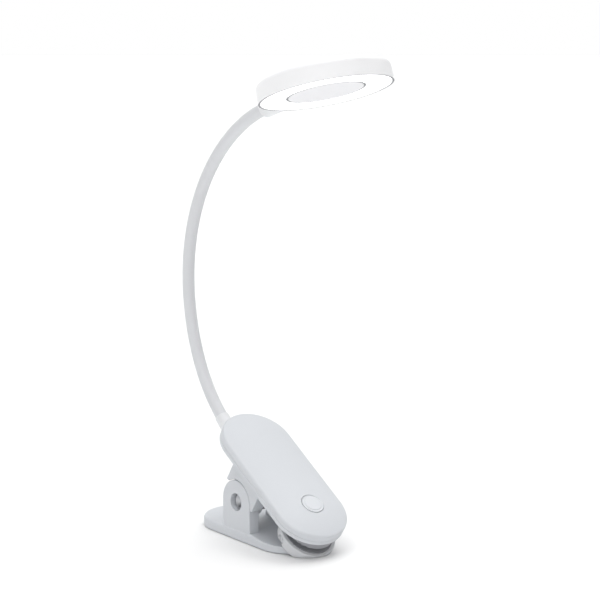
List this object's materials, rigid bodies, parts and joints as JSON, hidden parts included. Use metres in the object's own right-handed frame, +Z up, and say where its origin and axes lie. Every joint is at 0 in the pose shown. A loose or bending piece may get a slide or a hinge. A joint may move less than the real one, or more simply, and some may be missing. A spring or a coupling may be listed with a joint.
{
  "type": "clip-on reading lamp",
  "caption": "White clip-on reading lamp: spring clip with rubber jaw pads and a power button, a long bendable neck and a round head with a ring light.",
  "frame": {"origin": "on the surface the base rests on, straight below the middle of the clip's hinge pin", "axes": "+X from the clip's tail towards its mouth (the head reaches out that way), +Y to the left when looking along +X, +Z up"},
  "size_m": [0.2013, 0.088, 0.3287],
  "materials": {
    "white_plastic": "fine matt texture",
    "white_cup": "smooth, slightly brighter moulding",
    "white_gloss_rim": "satin head housing",
    "button_white": "satin",
    "diffuser": "frosted light ring",
    "centre_grey": "matt",
    "hub_grey": "matt",
    "inner_white": "glossy reflector",
    "pad_rubber": "ribbed soft rubber, dark",
    "pad_rubber_grey": "ribbed soft rubber, grey",
    "grip_rubber": "thin anti-slip sheet",
    "neck_silicone": "satin silicone sleeve",
    "stem_plastic": "satin",
    "pin_steel": "turned and polished pin",
    "spring_steel": "drawn wire",
    "steel": "plated steel",
    "copper_lead": "insulated wire",
    "circuit_board": "green solder mask",
    "white_board": "white solder mask",
    "led_chip": "phosphor window",
    "battery_wrap": "foil pouch",
    "switch_black": "moulded",
    "light_pipe": "clear rod"
  },
  "bodies": {
    "lower_jaw": {"lower_jaw_plate": "white_plastic", "base_grip_sheet": "grip_rubber", "hinge_pin": "pin_steel", "clip_spring": "spring_steel", "cup_pin": "steel"},
    "pad_cup": {"pad_cup": "white_cup", "lower_grip_pad": "pad_rubber_grey"},
    "upper_jaw": {"bottom_shell": "white_plastic", "top_cover": "white_plastic", "upper_grip_pad": "pad_rubber", "case_screws": "steel", "battery_cell": "battery_wrap", "main_board": "circuit_board", "tact_switch": "switch_black", "charge_board": "circuit_board", "charge_socket": "steel", "charge_light_pipe": "light_pipe", "casing_leads": "copper_lead", "neck_stem": "stem_plastic", "neck_nut": "steel", "neck_sleeve_0": "neck_silicone", "neck_core_0": "steel", "neck_leads_0": "copper_lead"},
    "power_button": {"power_button": "button_white"},
    "neck_1": {"neck_sleeve_1": "neck_silicone", "neck_core_1": "steel", "neck_leads_1": "copper_lead"},
    "neck_2": {"neck_sleeve_2": "neck_silicone", "neck_core_2": "steel", "neck_leads_2": "copper_lead"},
    "neck_3": {"neck_sleeve_3": "neck_silicone", "neck_core_3": "steel", "neck_leads_3": "copper_lead"},
    "neck_4": {"neck_sleeve_4": "neck_silicone", "neck_core_4": "steel", "neck_leads_4": "copper_lead"},
    "neck_5": {"neck_sleeve_5": "neck_silicone", "neck_core_5": "steel", "neck_leads_5": "copper_lead"},
    "neck_6": {"neck_sleeve_6": "neck_silicone", "neck_core_6": "steel", "neck_leads_6": "copper_lead"},
    "neck_7": {"neck_sleeve_7": "neck_silicone", "neck_core_7": "steel", "neck_leads_7": "copper_lead"},
    "lamp_head": {"neck_sleeve_8": "neck_silicone", "neck_core_8": "steel", "neck_leads_8": "copper_lead", "head_socket": "stem_plastic", "head_housing": "white_gloss_rim", "rim_trim": "hub_grey", "diffuser_ring": "diffuser", "centre_disc": "centre_grey", "head_hub": "hub_grey", "led_board": "white_board", "led_chips": "led_chip", "reflector_ring": "inner_white", "socket_clip": "steel", "head_leads": "copper_lead", "head_screws": "steel"}
  },
  "joints": [
    {"name": "clip_hinge", "type": "hinge", "parent": "lower_jaw", "child": "upper_jaw", "pos_m": [0, 0, 0.02646], "axis": [0, -1, 0], "range_deg": [0, 26], "stiffness_Nm_per_rad": 0.35, "springref_deg": -40, "deforming": ["clip_spring"]},
    {"name": "cup_tilt", "type": "hinge", "parent": "lower_jaw", "child": "pad_cup", "pos_m": [0.04523, 0, 0.01035], "axis": [0, -1, 0], "range_deg": [-0.8, 6]},
    {"name": "button_press", "type": "slide", "parent": "upper_jaw", "child": "power_button", "axis": [-0.5373, 0, -0.8434], "range_m": [0, 0.0005], "stiffness_N_per_m": 2500, "springref_m": -0.0004},
    {"name": "neck_bend_1", "type": "hinge", "parent": "upper_jaw", "child": "neck_1", "pos_m": [-0.05785, 0, 0.0858], "axis": [0, 1, 0], "range_deg": [-12, 10]},
    {"name": "neck_bend_2", "type": "hinge", "parent": "neck_1", "child": "neck_2", "pos_m": [-0.07545, 0, 0.11473], "axis": [-0.9239, 0, -0.3827], "range_deg": [-18, 18]},
    {"name": "neck_bend_3", "type": "hinge", "parent": "neck_2", "child": "neck_3", "pos_m": [-0.08466, 0, 0.14738], "axis": [0, 1, 0], "range_deg": [-12, 10]},
    {"name": "neck_bend_4", "type": "hinge", "parent": "neck_3", "child": "neck_4", "pos_m": [-0.08554, 0, 0.18127], "axis": [-0.9945, 0, 0.1045], "range_deg": [-18, 18]},
    {"name": "neck_bend_5", "type": "hinge", "parent": "neck_4", "child": "neck_5", "pos_m": [-0.07763, 0, 0.21424], "axis": [0, 1, 0], "range_deg": [-12, 10]},
    {"name": "neck_bend_6", "type": "hinge", "parent": "neck_5", "child": "neck_6", "pos_m": [-0.06145, 0, 0.24403], "axis": [-0.809, 0, 0.5878], "range_deg": [-18, 18]},
    {"name": "neck_bend_7", "type": "hinge", "parent": "neck_6", "child": "neck_7", "pos_m": [-0.03822, 0, 0.26873], "axis": [0, 1, 0], "range_deg": [-12, 10]},
    {"name": "neck_bend_8", "type": "hinge", "parent": "neck_7", "child": "lamp_head", "pos_m": [-0.00954, 0, 0.28683], "axis": [0, 1, 0], "range_deg": [-12, 10]}
  ]
}
